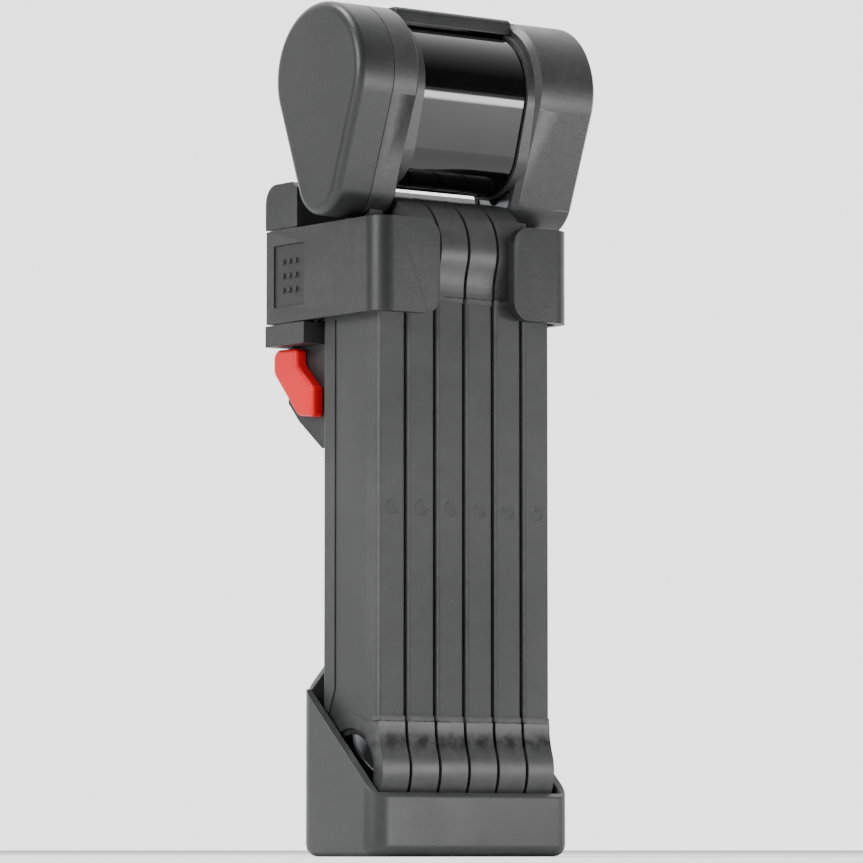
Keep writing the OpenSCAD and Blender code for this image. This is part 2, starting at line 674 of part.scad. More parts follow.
module release_lever() color(red) difference() {
    along_x(-nose_half - nose_gap - lever_t, -nose_half - nose_gap) lever_outline();
    rod_x(lever_pin_r + run, -nose_half - nose_gap - lever_t + 1, -nose_half, lever_pin_y, lever_pin_z);
}

module lever_pin() color(steel)
    rod_x(lever_pin_r, -nose_half - nose_gap - lever_t + 1.2, -spine_half_w - 3.4, lever_pin_y, lever_pin_z);

module lever_spring() color(steel) translate([-nose_half + 0.2, lever_pin_y, lever_pin_z])
    rotate([0, 90, 0]) coil(1.95, 0.3, 4.4, 4);

cup();
cup_liner();
spine();
cup_screws();
bracket();
bracket_screws();
jaw_pins();
jaw_springs();
jaw_left();
jaw_right();
grip_left();
grip_right();
release_lever();
lever_pin();
lever_spring();
for (k = [1:6]) {
    bar(k);
    sleeve(k);
}
rivet(1, low_pivot_z, -1);  // rivet_bottom_12
rivet(3, low_pivot_z, 0);  // rivet_bottom_34
rivet(5, low_pivot_z, 1);  // rivet_bottom_56
rivet(2, top_pivot_z, 0);  // rivet_top_23
rivet(4, top_pivot_z, 0);  // rivet_top_45
washer(1, low_pivot_z);  // washer_12
washer(2, top_pivot_z);  // washer_23
washer(3, low_pivot_z);  // washer_34
washer(4, top_pivot_z);  // washer_45
washer(5, low_pivot_z);  // washer_56
left_end_cap();
right_end_cap();
left_housing();
right_housing();
barrel();
top_rib();
head_core();
head_pin();
key_sleeve();
key_plug();
dust_cover();
dust_cover_pin();
lock_bolt();
bolt_spring();
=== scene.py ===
"""Folding bike lock in its frame holder: looks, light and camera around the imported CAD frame."""

import json
import math

import bmesh
import bpy
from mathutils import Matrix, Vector


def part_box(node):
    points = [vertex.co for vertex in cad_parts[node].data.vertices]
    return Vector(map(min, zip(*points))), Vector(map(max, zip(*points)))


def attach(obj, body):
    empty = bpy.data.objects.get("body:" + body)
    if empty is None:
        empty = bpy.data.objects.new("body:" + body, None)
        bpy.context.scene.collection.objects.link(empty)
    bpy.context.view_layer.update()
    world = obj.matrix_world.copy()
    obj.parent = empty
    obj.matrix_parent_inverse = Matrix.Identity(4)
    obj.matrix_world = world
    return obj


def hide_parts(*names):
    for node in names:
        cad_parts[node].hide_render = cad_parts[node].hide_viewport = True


MM = 0.001

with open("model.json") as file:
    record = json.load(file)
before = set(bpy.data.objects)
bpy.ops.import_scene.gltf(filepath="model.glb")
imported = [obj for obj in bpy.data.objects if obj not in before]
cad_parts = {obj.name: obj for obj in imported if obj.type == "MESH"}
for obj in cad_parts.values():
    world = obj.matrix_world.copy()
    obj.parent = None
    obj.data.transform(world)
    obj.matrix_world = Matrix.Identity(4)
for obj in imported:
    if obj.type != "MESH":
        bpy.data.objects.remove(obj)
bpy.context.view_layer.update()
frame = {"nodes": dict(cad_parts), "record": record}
NODES = frame["nodes"]
RECORD = frame["record"]
NODE_SLOT = {part["node"]: part["material_slot"] for part in RECORD["subparts"]}
BODY_OF = {node: body for body, nodes in RECORD["behaviour"]["bodies"].items() for node in nodes}


# ---------------------------------------------------------------- sizes from the frame, in mm


def box_mm(node):
    """Lowest and highest corner of a CAD node."""
    low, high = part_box(node)
    return low / MM, high / MM


def joint_height(name):
    """Height of a hinge's axis."""
    joints = RECORD["behaviour"]["joints"]
    return next(joint["pos_m"][2] for joint in joints if joint["name"] == name) / MM


CAP_LOW, CAP_HIGH = box_mm("left_end_cap")
CAP_FACE_X, CAP_SEAM_X = -CAP_LOW.x, -CAP_HIGH.x
CAP_WALL = 2.0
CAP_ROUND = 2.5
SEAM_ROUND = 0.35
SEAM_EASE = 0.1
INSIDE_CAD = 0.01
CAP_CROWN_R = round(CAP_HIGH.y, 1)  # the mesh's facets stop just short of the true arc
TILT_AXIS_Z = joint_height("head_tilt")
CAP_TOP = (CAP_CROWN_R - INSIDE_CAD, CAP_HIGH.z - CAP_CROWN_R)  # radius and height of each end's arc
CAP_FOOT = (TILT_AXIS_Z - CAP_LOW.z - INSIDE_CAD, TILT_AXIS_Z)

LEVER_LOW, LEVER_HIGH = box_mm("release_lever")
LEVER_OUT_X, LEVER_IN_X = LEVER_LOW.x, LEVER_HIGH.x
LEVER_ROUND = 1.1
LEVER_BACK_EASE = 0.3
LEVER_SHAPE = [  # back and up from the lever's low front, and the round of each corner
    (7.8, 19.2, 1.2), (18.6, 19.6, 2.6), (18.6, 13.0, 3.5), (7.3, 0.8, 3.0),
    (0.0, 0.0, 1.4), (0.0, 8.0, 2.0), (7.8, 15.0, 3.5)]
LEVER_CORNERS = [(LEVER_LOW.y + back, LEVER_LOW.z + up, r) for back, up, r in LEVER_SHAPE]

SLEEVE_LOW, SLEEVE_HIGH = box_mm("sleeve_1")
SLEEVE_LIP = 0.09
SLEEVE_FOOT_Z, SLEEVE_TOP_Z = SLEEVE_LOW.z + SLEEVE_LIP, SLEEVE_HIGH.z - SLEEVE_LIP
# Half width of the painted shade in the seam groove at each end of a sleeve.
SEAM_SHADE_HALF_WIDTH = 0.5
# Half width of a darker band on the link coating, and how far below the sleeve's foot it lies.
EYE_DARK_BAND, EYE_DARK_BAND_DROP = 4.0, 4.9

STRIP_SINK = 0.3
MARK_DROP = 0.15
MARK_OUTER_R, MARK_INNER_R, MARK_WIRE = 1.9, 0.9, 0.14

PANEL_SINK = 0.1
PANEL_FACE_X = box_mm("bar_6")[1].x - PANEL_SINK
PANEL_HALF_W, PANEL_FOOT_HALF_W = SLEEVE_HIGH.y - 5.9, SLEEVE_HIGH.y - 2.6
PANEL_LOW_Z, PANEL_FLARE_Z, PANEL_TOP_Z = SLEEVE_FOOT_Z + 1.0, SLEEVE_FOOT_Z + 8.9, SLEEVE_TOP_Z - 6.0
# Width and depth of the dark strips that paint the grooves' shade.
GROOVE_W, GROOVE_DEPTH = 0.4, 0.3


# ---------------------------------------------------------------- shader groups


def add_node(tree, kind, settings=(), inputs=()):
    """A shader node with its properties and its unlinked inputs set."""
    node = tree.nodes.new(kind)
    for name, value in dict(settings).items():
        setattr(node, name, value)
    for name, value in dict(inputs).items():
        node.inputs[name].default_value = value
    return node


def group_tree(name, inputs, outputs):
    """A node group with named sockets, and its two end nodes."""
    tree = bpy.data.node_groups.new(name, "ShaderNodeTree")
    for label, kind, value in inputs:
        socket = tree.interface.new_socket(label, in_out="INPUT", socket_type=kind)
        socket.default_value = value
    for label, kind in outputs:
        tree.interface.new_socket(label, in_out="OUTPUT", socket_type=kind)
    return tree, tree.nodes.new("NodeGroupInput"), tree.nodes.new("NodeGroupOutput")


FLOAT, COLOUR = "NodeSocketFloat", "NodeSocketColor"
CELL_DEPTH = -0.5
GLINT_SHARE = 0.55
DUST_SHARE = 0.12
STAIN_TONE = 0.6


def moulded_grain_group():
    """Spark-eroded grain: a fine height, and a soft mask for its glinting tops that the plastics paint in as
    lighter flecks (painted glints) and the lacquer uses as dust.
    """
    tree, start, end = group_tree(
        "moulded grain",
        [("Scale", FLOAT, 1600.0), ("Roughness of grain", FLOAT, 0.6)],
        [("Height", FLOAT), ("Glint", FLOAT)],
    )
    link = tree.links.new
    place = add_node(tree, "ShaderNodeTexCoord")
    noise = add_node(tree, "ShaderNodeTexNoise", inputs={"Detail": 3.0})
    cells = add_node(tree, "ShaderNodeTexVoronoi")
    glint = add_node(tree, "ShaderNodeMapRange", inputs={"From Min": 0.62, "From Max": 0.74})
    mix = add_node(tree, "ShaderNodeMath", {"operation": "MULTIPLY_ADD"}, {1: CELL_DEPTH})
    for texture in (noise, cells):
        link(place.outputs["Object"], texture.inputs["Vector"])
        link(start.outputs["Scale"], texture.inputs["Scale"])
    link(start.outputs["Roughness of grain"], noise.inputs["Roughness"])
    link(cells.outputs["Distance"], mix.inputs[0])
    link(noise.outputs["Fac"], mix.inputs[2])
    link(noise.outputs["Fac"], glint.inputs["Value"])
    link(mix.outputs[0], end.inputs["Height"])
    link(glint.outputs["Result"], end.inputs["Glint"])
    return tree


def handling_group():
    """Slow changes of tone and of polish, as hands and moulding leave on plastic."""
    tree, start, end = group_tree(
        "handling marks",
        [("Scale", FLOAT, 60.0), ("Low", FLOAT, 0.0), ("High", FLOAT, 1.0)],
        [("Mask", FLOAT)],
    )
    link = tree.links.new
    place = add_node(tree, "ShaderNodeTexCoord")
    noise = add_node(tree, "ShaderNodeTexNoise", inputs={"Detail": 4.0, "Roughness": 0.6})
    spread = add_node(tree, "ShaderNodeMapRange", inputs={"From Min": 0.3, "From Max": 0.7})
    link(place.outputs["Object"], noise.inputs["Vector"])
    link(start.outputs["Scale"], noise.inputs["Scale"])
    link(noise.outputs["Fac"], spread.inputs["Value"])
    link(start.outputs["Low"], spread.inputs["To Min"])
    link(start.outputs["High"], spread.inputs["To Max"])
    link(spread.outputs["Result"], end.inputs["Mask"])
    return tree


def edge_wear_group():
    """A broken mask on the outer edges, where plastic polishes and paint thins."""
    tree, start, end = group_tree(
        "edge wear",
        [("Start", FLOAT, 0.53), ("End", FLOAT, 0.6), ("Breakup scale", FLOAT, 400.0)],
        [("Mask", FLOAT)],
    )
    link = tree.links.new
    shape = add_node(tree, "ShaderNodeNewGeometry")
    place = add_node(tree, "ShaderNodeTexCoord")
    noise = add_node(tree, "ShaderNodeTexNoise", inputs={"Detail": 3.0})
    edge = add_node(tree, "ShaderNodeMapRange")
    breakup = add_node(tree, "ShaderNodeMath", {"operation": "MULTIPLY"})
    link(place.outputs["Object"], noise.inputs["Vector"])
    link(start.outputs["Breakup scale"], noise.inputs["Scale"])
    link(shape.outputs["Pointiness"], edge.inputs["Value"])
    link(start.outputs["Start"], edge.inputs["From Min"])
    link(start.outputs["End"], edge.inputs["From Max"])
    link(edge.outputs["Result"], breakup.inputs[0])
    link(noise.outputs["Fac"], breakup.inputs[1])
    link(breakup.outputs[0], end.inputs["Mask"])
    return tree


def tint_group():
    """Moves a colour towards a second one by a mask."""
    tree, start, end = group_tree(
        "tint",
        [("Colour", COLOUR, (0, 0, 0, 1)), ("Second", COLOUR, (1, 1, 1, 1)), ("Mask", FLOAT, 0.0)],
        [("Colour", COLOUR)],
    )
    mix = add_node(tree, "ShaderNodeMix", {"data_type": "RGBA"})
    tree.links.new(start.outputs["Mask"], mix.inputs["Factor"])
    tree.links.new(start.outputs["Colour"], mix.inputs[6])
    tree.links.new(start.outputs["Second"], mix.inputs[7])
    tree.links.new(mix.outputs[2], end.inputs["Colour"])
    return tree


def height_band_group():
    """A soft, broken mask around one height on the object, for darkening at a step, such as the painted shade
    in the sleeve seams.
    """
    tree, start, end = group_tree(
        "height band",
        [("Centre", FLOAT, 0.0), ("Half width", FLOAT, 0.001), ("Breakup scale", FLOAT, 300.0)],
        [("Mask", FLOAT)],
    )
    link = tree.links.new
    place = add_node(tree, "ShaderNodeTexCoord")
    parts = add_node(tree, "ShaderNodeSeparateXYZ")
    away = add_node(tree, "ShaderNodeMath", {"operation": "SUBTRACT"})
    size = add_node(tree, "ShaderNodeMath", {"operation": "ABSOLUTE"})
    fade = add_node(tree, "ShaderNodeMapRange", {"interpolation_type": "SMOOTHSTEP"},
                    {"To Min": 1.0, "To Max": 0.0})
    noise = add_node(tree, "ShaderNodeTexNoise", inputs={"Detail": 3.0})
    broken = add_node(tree, "ShaderNodeMapRange", inputs={"From Min": 0.35, "From Max": 0.6})
    mask = add_node(tree, "ShaderNodeMath", {"operation": "MULTIPLY"})
    link(place.outputs["Object"], parts.inputs[0])
    link(parts.outputs["Z"], away.inputs[0])
    link(start.outputs["Centre"], away.inputs[1])
    link(away.outputs[0], size.inputs[0])
    link(size.outputs[0], fade.inputs["Value"])
    link(start.outputs["Half width"], fade.inputs["From Max"])
    link(place.outputs["Object"], noise.inputs["Vector"])
    link(start.outputs["Breakup scale"], noise.inputs["Scale"])
    link(noise.outputs["Fac"], broken.inputs["Value"])
    link(fade.outputs["Result"], mask.inputs[0])
    link(broken.outputs["Result"], mask.inputs[1])
    link(mask.outputs[0], end.inputs["Mask"])
    return tree


GRAIN = moulded_grain_group()
BAND = height_band_group()
HANDLING = handling_group()
WEAR = edge_wear_group()
TINT = tint_group()


# ---------------------------------------------------------------- materials


def new_material(name):
    """An empty node material with its shader linked to the output."""
    material = bpy.data.materials.new(name)
    material.use_nodes = True
    tree = material.node_tree
    tree.nodes.clear()
    shader = tree.nodes.new("ShaderNodeBsdfPrincipled")
    out = tree.nodes.new("ShaderNodeOutputMaterial")
    tree.links.new(shader.outputs["BSDF"], out.inputs["Surface"])
    return material, tree, shader


def use_group(tree, group, values=()):
    """Places a shader group in a material with this material's own values."""
    node = tree.nodes.new("ShaderNodeGroup")
    node.node_tree = group
    for name, value in dict(values).items():
        node.inputs[name].default_value = value
    return node


def grey(value, warm=0.0):
    """A grey, pushed a little to red or, below 0, to blue."""
    return (value * (1 + warm), value, value * (1 - warm), 1.0)


GRAIN_DEPTH = 0.06 * MM
# Near-black for the height bands: painted shade in the sleeve seams, and a darker band on the eyes.
DARK_BAND_TONE = grey(0.003)


def moulded_plastic(name, colour, worn, rough, grain=1500.0, bump=0.25, specular=0.5, bands=()):
    """Grained plastic: tone and polish drift, edges polish, grain stands up as a bump, and painted glints
    lighten the grain's tops.
    """
    material, tree, shader = new_material(name)
    link = tree.links.new
    marks = use_group(tree, HANDLING, {"Scale": 45.0, "Low": rough[0], "High": rough[1]})
    drift = use_group(tree, HANDLING, {"Scale": 22.0, "Low": 0.0, "High": 0.35})
    wear = use_group(tree, WEAR)
    grain_group = use_group(tree, GRAIN, {"Scale": grain})
    drifted = use_group(tree, TINT, {"Colour": colour, "Second": worn})
    # Painted glints: the grain's tops are tinted towards the lighter worn colour.
    glinted = use_group(tree, TINT, {"Second": worn})
    edged = use_group(tree, TINT, {"Second": worn})
    glint = add_node(tree, "ShaderNodeMath", {"operation": "MULTIPLY"}, {1: GLINT_SHARE})
    relief = add_node(tree, "ShaderNodeBump", inputs={"Strength": bump, "Distance": GRAIN_DEPTH})
    link(drift.outputs["Mask"], drifted.inputs["Mask"])
    link(drifted.outputs["Colour"], glinted.inputs["Colour"])
    link(grain_group.outputs["Glint"], glint.inputs[0])
    link(glint.outputs[0], glinted.inputs["Mask"])
    link(glinted.outputs["Colour"], edged.inputs["Colour"])
    link(wear.outputs["Mask"], edged.inputs["Mask"])
    last = edged
    # Each band darkens the colour around one height: painted shade in the sleeve seams, a darker band on the
    # eyes.
    for centre, half_width in bands:
        band = use_group(tree, BAND, {"Centre": centre * MM, "Half width": half_width * MM})
        darkened = use_group(tree, TINT, {"Second": DARK_BAND_TONE})
        link(last.outputs["Colour"], darkened.inputs["Colour"])
        link(band.outputs["Mask"], darkened.inputs["Mask"])
        last = darkened
    link(last.outputs["Colour"], shader.inputs["Base Color"])
    link(marks.outputs["Mask"], shader.inputs["Roughness"])
    link(grain_group.outputs["Height"], relief.inputs["Height"])
    link(relief.outputs["Normal"], shader.inputs["Normal"])
    shader.inputs["Specular IOR Level"].default_value = specular
    return material


def polished_plastic(name, colour):
    """Piano-black lacquer with faint dust and hairlines in the coat."""
    material, tree, shader = new_material(name)
    link = tree.links.new
    haze = use_group(tree, HANDLING, {"Scale": 35.0, "Low": 0.05, "High": 0.12})
    dust = use_group(tree, GRAIN, {"Scale": 900.0})
    dusted = use_group(tree, TINT, {"Colour": colour, "Second": grey(0.05)})
    thin = add_node(tree, "ShaderNodeMath", {"operation": "MULTIPLY"}, {1: DUST_SHARE})
    wave = add_node(tree, "ShaderNodeBump", inputs={"Strength": 0.02, "Distance": 0.0002})
    link(dust.outputs["Glint"], thin.inputs[0])
    link(thin.outputs[0], dusted.inputs["Mask"])
    link(dusted.outputs["Colour"], shader.inputs["Base Color"])
    link(haze.outputs["Mask"], shader.inputs["Roughness"])
    link(haze.outputs["Mask"], wave.inputs["Height"])
    link(wave.outputs["Normal"], shader.inputs["Normal"])
    shader.inputs["Coat Weight"].default_value = 0.1
    shader.inputs["Coat Roughness"].default_value = 0.03
    return material


STREAK_STRETCH = (1.0, 0.06, 0.06)


def turned_metal(name, colour, rough, streak_scale=900.0):
    """Bare metal with fine machining streaks."""
    material, tree, shader = new_material(name)
    link = tree.links.new
    place = add_node(tree, "ShaderNodeTexCoord")
    run = add_node(tree, "ShaderNodeMapping")
    run.inputs["Scale"].default_value = STREAK_STRETCH
    streaks = add_node(tree, "ShaderNodeTexNoise", inputs={"Scale": streak_scale, "Detail": 4.0})
    polish = add_node(tree, "ShaderNodeMapRange", inputs={"To Min": rough[0], "To Max": rough[1]})
    stained = tuple(STAIN_TONE * c for c in colour[:3]) + (1.0,)
    toned = use_group(tree, TINT, {"Colour": colour, "Second": stained})
    stain = use_group(tree, HANDLING, {"Scale": 120.0, "Low": 0.0, "High": 0.5})
    relief = add_node(tree, "ShaderNodeBump", inputs={"Strength": 0.12, "Distance": 0.00003})
    link(place.outputs["Object"], run.inputs["Vector"])
    link(run.outputs["Vector"], streaks.inputs["Vector"])
    link(streaks.outputs["Fac"], polish.inputs["Value"])
    link(polish.outputs["Result"], shader.inputs["Roughness"])
    link(stain.outputs["Mask"], toned.inputs["Mask"])
    link(toned.outputs["Colour"], shader.inputs["Base Color"])
    link(streaks.outputs["Fac"], relief.inputs["Height"])
    link(relief.outputs["Normal"], shader.inputs["Normal"])
    shader.inputs["Metallic"].default_value = 1.0
    return material


SHELL = moulded_plastic(
    "head shell plastic", grey(0.010, -0.03), grey(0.035),
    rough=(0.34, 0.46), grain=1100.0, bump=0.5, specular=0.42)
# The sleeve's bands are painted shade in the seam groove at each end.
SLEEVE = moulded_plastic(
    "link sleeve plastic", grey(0.026, -0.02), grey(0.09),
    rough=(0.5, 0.64), grain=1500.0, bump=0.55, specular=0.3,
    bands=((SLEEVE_FOOT_Z, SEAM_SHADE_HALF_WIDTH), (SLEEVE_TOP_Z, SEAM_SHADE_HALF_WIDTH)))
HOLDER = moulded_plastic(
    "holder plastic", grey(0.009, -0.03), grey(0.032),
    rough=(0.36, 0.48), grain=1200.0, bump=0.45, specular=0.38)
RIM = moulded_plastic("cup rim plastic", grey(0.003), grey(0.008), rough=(0.5, 0.62), specular=0.2)
# The coating's band is a darker band on the eyes, just below the sleeve.
COATED = moulded_plastic(
    "link coating", grey(0.024, -0.02), grey(0.06),
    rough=(0.32, 0.44), grain=2600.0, bump=0.2, specular=0.32,
    bands=((SLEEVE_FOOT_Z - EYE_DARK_BAND_DROP, EYE_DARK_BAND),))
CUP = moulded_plastic(
    "cup plastic", grey(0.030, -0.02), grey(0.07),
    rough=(0.38, 0.5), grain=1200.0, bump=0.45, specular=0.34)
# Near-black for the strips that paint the shade in the grooves beside the panels of links 1 and 6.
GROOVE_SHADE = moulded_plastic("painted groove shade", grey(0.003), grey(0.006), rough=(0.6, 0.7), specular=0.15)
RUBBER = moulded_plastic(
    "grip rubber", grey(0.012), grey(0.038),
    rough=(0.44, 0.56), grain=1200.0, bump=0.4, specular=0.36)
RED = moulded_plastic(
    "red lever plastic", (0.60, 0.004, 0.008, 1), (0.68, 0.03, 0.035, 1),
    rough=(0.32, 0.42), grain=2200.0, bump=0.08, specular=0.2)
LACQUER = polished_plastic("barrel lacquer", grey(0.0015))
STEEL = turned_metal("plain steel", (0.56, 0.57, 0.58, 1), (0.25, 0.42))
CHROME = turned_metal("dark chrome", (0.20, 0.20, 0.21, 1), (0.10, 0.2), streak_scale=500.0)
BRASS = turned_metal("brass", (0.72, 0.54, 0.26, 1), (0.22, 0.38))

SLOT_MATERIAL = {
    "shell_plastic": SHELL,
    "sleeve_plastic": SLEEVE,
    "holder_plastic": HOLDER,
    "gloss_black": LACQUER,
    "link_coat": COATED,
    "plain_steel": STEEL,
    "dark_chrome": CHROME,
    "soft_rubber": RUBBER,
    "red_plastic": RED,
    "brass": BRASS,
}


def dress(obj, material):
    """Gives the object this one material."""
    obj.data.materials.clear()
    obj.data.materials.append(material)


for node_name, node_object in NODES.items():
    dress(node_object, SLOT_MATERIAL[NODE_SLOT[node_name]])


# ---------------------------------------------------------------- making pieces

SHARP = math.radians(28)
FLAT = math.radians(0.4)
SAME_POINT, SAME_ARC_END = 1e-6, 1e-7


def piece_from(shape, name, mesh_name):
    """An object in the scene that holds the finished shape."""
    mesh = bpy.data.meshes.new(mesh_name)
    shape.to_mesh(mesh)
    shape.free()
    piece = bpy.data.objects.new(name, mesh)
    bpy.context.scene.collection.objects.link(piece)
    return piece


def even_normals(piece):
    """Shades the large faces flat and leaves the turn of tone to the rounds."""
    normals = piece.modifiers.new("even normals", "WEIGHTED_NORMAL")
    normals.keep_sharp = True
    normals.weight = 100


def stand_for(piece, node):
    """The piece takes the place of its CAD node, on the same body."""
    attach(piece, BODY_OF[node])
    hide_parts(node)


def add_to(piece, node):
    """The piece is one more detail on a CAD node that stays."""
    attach(piece, BODY_OF[node])


def smooth_faces(shape):
    for face in shape.faces:
        face.smooth = True


def skin(shape, loops):
    """Walls from each loop to the next, and a flat face over both ends."""
    for a, b in zip(loops, loops[1:]):
        for j in range(len(a)):
            k = (j + 1) % len(a)
            shape.faces.new((a[j], a[k], b[k], b[j]))
    shape.faces.new(loops[0])
    shape.faces.new(loops[-1])


def quarter_round(radius, steps):
    """How far in and how far back each step of a quarter round lies."""
    for i in range(steps + 1):
        angle = math.pi / 2 * i / steps
        yield radius * (1 - math.cos(angle)), radius * (1 - math.sin(angle))


# ---------------------------------------------------------------- softened shells


def softened(node, radius_at, segments=3, clamp=True, rim=None):
    """A copy of a CAD shell with rounded edges; radius_at gives each sharp edge its radius in mm."""
    source = NODES[node]
    shape = bmesh.new()
    shape.from_mesh(source.data)
    bmesh.ops.remove_doubles(shape, verts=shape.verts, dist=SAME_POINT)
    bmesh.ops.dissolve_limit(
        shape, angle_limit=FLAT, use_dissolve_boundaries=False,
        verts=shape.verts, edges=shape.edges)
    weight = shape.edges.layers.float.new("bevel_weight_edge")
    chosen = []
    for edge in shape.edges:
        edge.smooth = True
        if len(edge.link_faces) == 2 and edge.calc_face_angle(0.0) > SHARP:
            edge.smooth = False
            radius = radius_at((edge.verts[0].co + edge.verts[1].co) / 2 / MM)
            if radius > 0:
                chosen.append((edge, radius * MM))
    widest = max(radius for _, radius in chosen)
    for edge, radius in chosen:
        edge[weight] = radius / widest
        edge.smooth = True
    smooth_faces(shape)
    for face in shape.faces:
        face.material_index = 1 if rim and rim(face.calc_center_median() / MM, face.normal) else 0
    piece = piece_from(shape, node + "_soft", node + "_shape")
    bevel = piece.modifiers.new("rounded edges", "BEVEL")
    bevel.limit_method = "WEIGHT"
    bevel.width = widest
    bevel.segments = segments
    bevel.use_clamp_overlap = clamp
    bevel.miter_outer = "MITER_ARC"
    even_normals(piece)
    dress(piece, CUP if node == "cup" else SLOT_MATERIAL[NODE_SLOT[node]])
    if rim:
        piece.data.materials.append(RIM)
    stand_for(piece, node)


CUP_FOOT_ROUND, CUP_EDGE_ROUND = 3.2, 0.45
CUP_FOOT_Z = 0.05
RIM_LOW_Z, RIM_FACING_UP = 6, 0.25


def cup_radius(point):
    """A full round under the cup and a small one on its other edges."""
    return CUP_FOOT_ROUND if point.z < CUP_FOOT_Z else CUP_EDGE_ROUND


def cup_rim(centre, normal):
    """The top faces of the cup's walls, level in front and slanted at the sides."""
    return normal.z > RIM_FACING_UP and centre.z > RIM_LOW_Z


EDGE_ROUNDS = {
    "jaw_left": 0.8,
    "jaw_right": 0.8,
    "bracket": 0.6,
    "top_rib": 0.5,
    "right_end_cap": 0.35,
    "left_housing": 0.35,
    "right_housing": 0.35,
    "grip_left": 0.25,
    "grip_right": 0.25,
}

softened("cup", cup_radius, segments=4, clamp=False, rim=cup_rim)
for shell, edge_round in EDGE_ROUNDS.items():
    softened(shell, lambda point, radius=edge_round: radius)


# ---------------------------------------------------------------- rounded end cap


def teardrop_loop(shape, inset, x, steps=44):
    """The cap's outline drawn in by inset, as one loop of vertices at x."""
    (r1, z1), (r2, z2) = CAP_TOP, CAP_FOOT
    lean = math.asin((r1 - r2) / (z1 - z2))
    loop = []
    arcs = ((r1, z1, -lean, math.pi + lean), (r2, z2, math.pi + lean, math.tau - lean))
    for r, z, start, end in arcs:
        reach = r - inset
        for i in range(steps + 1):
            angle = start + (end - start) * i / steps
            point = Vector((x, reach * math.cos(angle), z + reach * math.sin(angle)))
            loop.append(shape.verts.new(point * MM))
    return loop


def rounded_cap(node, side):
    """The end cap as a shell with a full round where its face meets its side."""
    shape = bmesh.new()
    stations = [(CAP_WALL, CAP_FACE_X - CAP_WALL), (CAP_WALL, CAP_SEAM_X), (SEAM_ROUND, CAP_SEAM_X),
                (SEAM_EASE, CAP_SEAM_X + SEAM_EASE), (0.0, CAP_SEAM_X + SEAM_ROUND)]
    stations += [(inset, CAP_FACE_X - back) for inset, back in quarter_round(CAP_ROUND, 8)]
    skin(shape, [teardrop_loop(shape, inset, side * x) for inset, x in stations])
    bmesh.ops.remove_doubles(shape, verts=shape.verts, dist=SAME_ARC_END)
    bmesh.ops.recalc_face_normals(shape, faces=shape.faces)
    smooth_faces(shape)
    for edge in shape.edges:
        edge.smooth = edge.calc_face_angle(0.0) < SHARP
    piece = piece_from(shape, node + "_round", node + "_shape")
    even_normals(piece)
    dress(piece, SLOT_MATERIAL[NODE_SLOT[node]])
    stand_for(piece, node)


rounded_cap("left_end_cap", -1)

# ---------------------------------------------------------------- rounded lever


def rounded_loop(shape, corners, inset, x, steps=8):
    """A clockwise outline with round corners, drawn in by inset, as one loop at x."""
    loop = []
    for i, (y, z, r) in enumerate(corners):
        here = Vector((y, z))
        before = (here - Vector(corners[i - 1][:2])).normalized()
        after = (Vector(corners[(i + 1) % len(corners)][:2]) - here).normalized()
        turn = before.x * after.y - before.y * after.x
        sign = 1 if turn < 0 else -1
        half = math.acos(max(-1.0, min(1.0, before.dot(after)))) / 2
        centre = here + (after - before).normalized() * r / math.cos(half)
        first = math.atan2(before.x * sign, -before.y * sign)
        reach = r - sign * inset
        for j in range(steps + 1):
            angle = first - sign * 2 * half * j / steps
            point = Vector((x, centre.x + reach * math.cos(angle), centre.y + reach * math.sin(angle)))
            loop.append(shape.verts.new(point * MM))
    return loop


def rounded_lever():
    """The release lever: a cranked paddle, well rounded on the side that a finger meets."""
    shape = bmesh.new()
    stations = [(LEVER_BACK_EASE, LEVER_IN_X), (0.0, LEVER_IN_X - LEVER_BACK_EASE)]
    stations += [(inset, LEVER_OUT_X + back) for inset, back in quarter_round(LEVER_ROUND, 6)]
    skin(shape, [rounded_loop(shape, LEVER_CORNERS, inset, x) for inset, x in stations])
    bmesh.ops.recalc_face_normals(shape, faces=shape.faces)
    smooth_faces(shape)
    piece = piece_from(shape, "release_lever_round", "release_lever_shape")
    even_normals(piece)
    dress(piece, RED)
    stand_for(piece, "release_lever")


rounded_lever()

# ---------------------------------------------------------------- moulding marks and painted groove shade


def broken_ring(shape, centre, radius, turn, start, steps=40, around=8):
    """Part of a fine raised ring, standing on a face that looks to -Y."""
    wire = MARK_WIRE * MM
    rows = []
    for i in range(steps + 1):
        angle = start + turn * i / steps
        out = Vector((math.cos(angle), 0, math.sin(angle)))
        rows.append([
            shape.verts.new(centre + out * (radius + wire * math.cos(b)) + Vector((0, wire * math.sin(b), 0)))
            for b in (math.tau * j / around for j in range(around))])
    skin(shape, rows)


def moulding_mark(link):
    """The gate mark on the front of a link's strip: two broken rings, turned a little on each link."""
    low, high = box_mm(f"sleeve_{link}")
    middle = (low + high) / 2
    centre = Vector((middle.x, low.y + STRIP_SINK, middle.z - MARK_DROP)) * MM
    shape = bmesh.new()
    broken_ring(shape, centre, MARK_OUTER_R * MM, turn=5.1, start=0.5 * link)
    broken_ring(shape, centre, MARK_INNER_R * MM, turn=4.2, start=2.0 + 0.7 * link, steps=26)
    bmesh.ops.recalc_face_normals(shape, faces=shape.faces)
    smooth_faces(shape)
    mark = piece_from(shape, f"gate_mark_{link}", f"gate_mark_{link}_shape")
    dress(mark, COATED)
    add_to(mark, f"sleeve_{link}")


